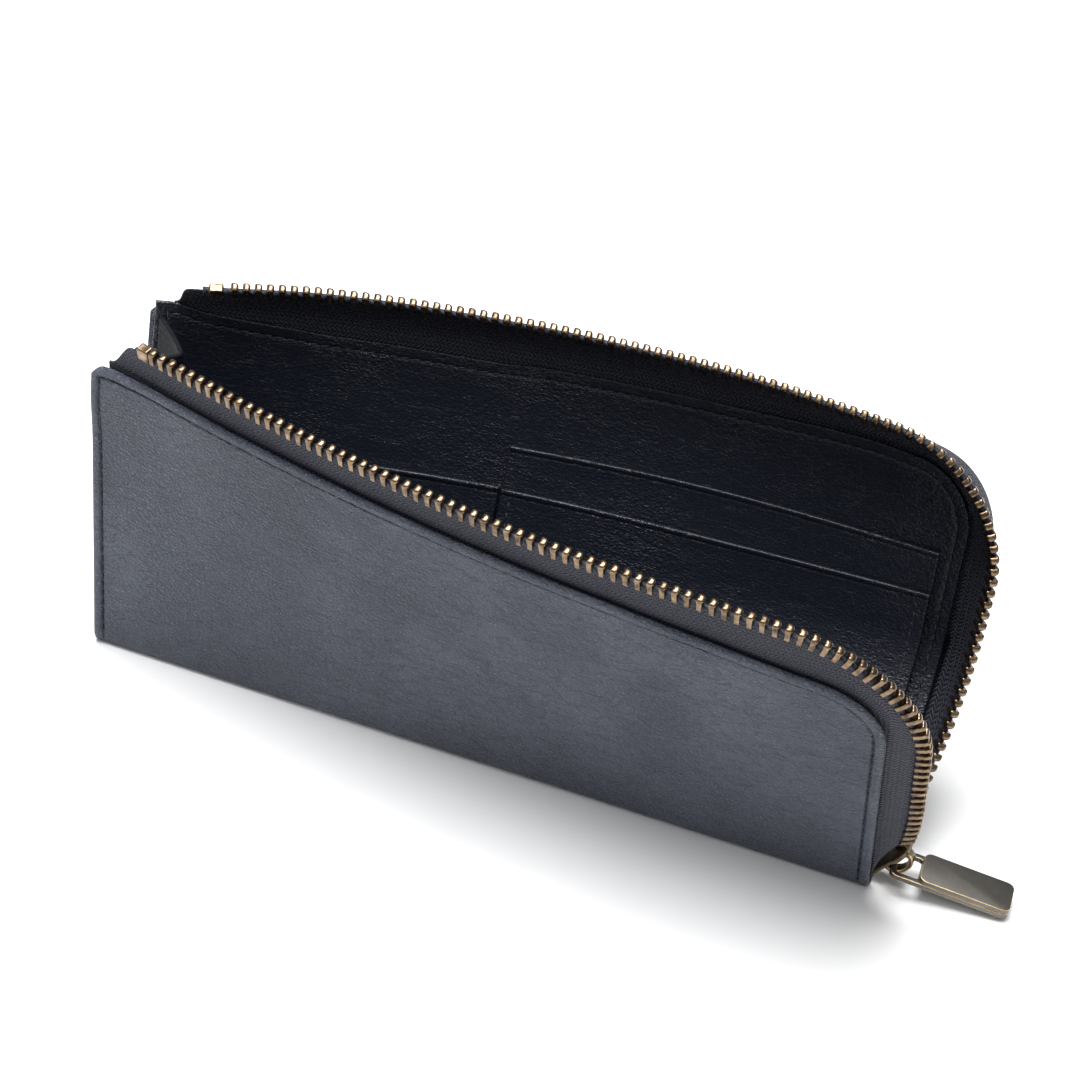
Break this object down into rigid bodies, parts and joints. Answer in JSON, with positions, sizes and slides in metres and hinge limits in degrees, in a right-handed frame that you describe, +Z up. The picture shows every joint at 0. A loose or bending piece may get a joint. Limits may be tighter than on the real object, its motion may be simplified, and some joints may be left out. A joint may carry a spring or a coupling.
{
  "type": "long wallet",
  "caption": "Long leather wallet with an L-shaped metal zip, standing open on its bottom fold, with slip pockets inside and a bar puller.",
  "frame": {"origin": "on the surface the wallet stands on, under the middle of its length, about halfway between the two covers' bottom edges", "axes": "+X along the wallet from the closed gusset end to the zipped end, +Y towards the back cover, +Z up"},
  "size_m": [0.2103, 0.0816, 0.0883],
  "materials": {
    "outer_leather": "dark navy leather with a fine pebbled grain, satin",
    "inner_leather": "smooth very dark navy leather, slightly glossy",
    "zip_tape": "charcoal navy woven tape, matt",
    "antique_brass": "antique brass, half gloss",
    "pale_brass": "satin pale brass face with polished edges"
  },
  "bodies": {
    "back": {"back_cover_leather": "outer_leather", "back_lining": "inner_leather", "upper_card_pocket": "inner_leather", "lower_card_pocket": "inner_leather", "wide_slip_pocket": "inner_leather", "end_gusset": "outer_leather", "back_zip_tape": "zip_tape", "back_zip_teeth": "antique_brass", "back_top_stop": "antique_brass"},
    "front": {"front_cover_leather": "outer_leather", "front_lining": "inner_leather", "front_zip_tape": "zip_tape", "front_zip_teeth": "antique_brass", "front_top_stop": "antique_brass"},
    "slider": {"slider_body": "antique_brass", "slider_bail": "antique_brass"},
    "puller": {"puller_loop": "pale_brass", "puller_plate": "pale_brass"}
  },
  "joints": [
    {"name": "cover_fold", "type": "hinge", "parent": "back", "child": "front", "pos_m": [0, -0.0082, 0.001], "axis": [1, 0, 0], "range_deg": [-12, 10], "deforming": ["end_gusset"]},
    {"name": "slider_travel", "type": "slide", "parent": "back", "child": "slider", "axis": [0.5878, 0, 0.809], "range_m": [0, 0.002]},
    {"name": "puller_swing", "type": "hinge", "parent": "slider", "child": "puller", "pos_m": [0.09429, -0.0039, 0.00535], "axis": [0.0872, -0.9962, 0], "range_deg": [-80, 50]}
  ]
}
